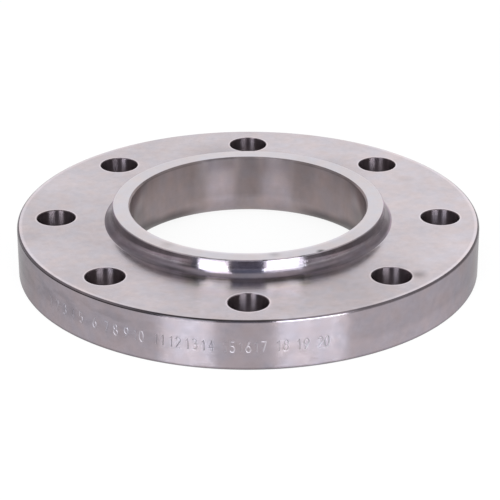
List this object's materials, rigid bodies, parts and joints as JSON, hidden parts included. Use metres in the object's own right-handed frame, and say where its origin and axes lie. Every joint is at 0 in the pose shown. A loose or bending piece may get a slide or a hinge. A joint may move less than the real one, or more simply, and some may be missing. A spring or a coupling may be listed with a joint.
{
  "type": "slip-on flange",
  "caption": "Low-hubbed slip-on pipe flange with a plain bore, a rounded bore corner at its flat seating face and a ring of bolt holes.",
  "frame": {"origin": "centre of the flat seating face, on the bore's axis; the flange rests on this face", "axes": "+Z along the bore's axis, from the seating face towards the hub; +X through a bolt hole"},
  "size_m": [0.2286, 0.2286, 0.0334],
  "materials": {
    "steel": "satin, turned all over"
  },
  "bodies": {
    "root": {"flange": "steel"}
  },
  "joints": []
}
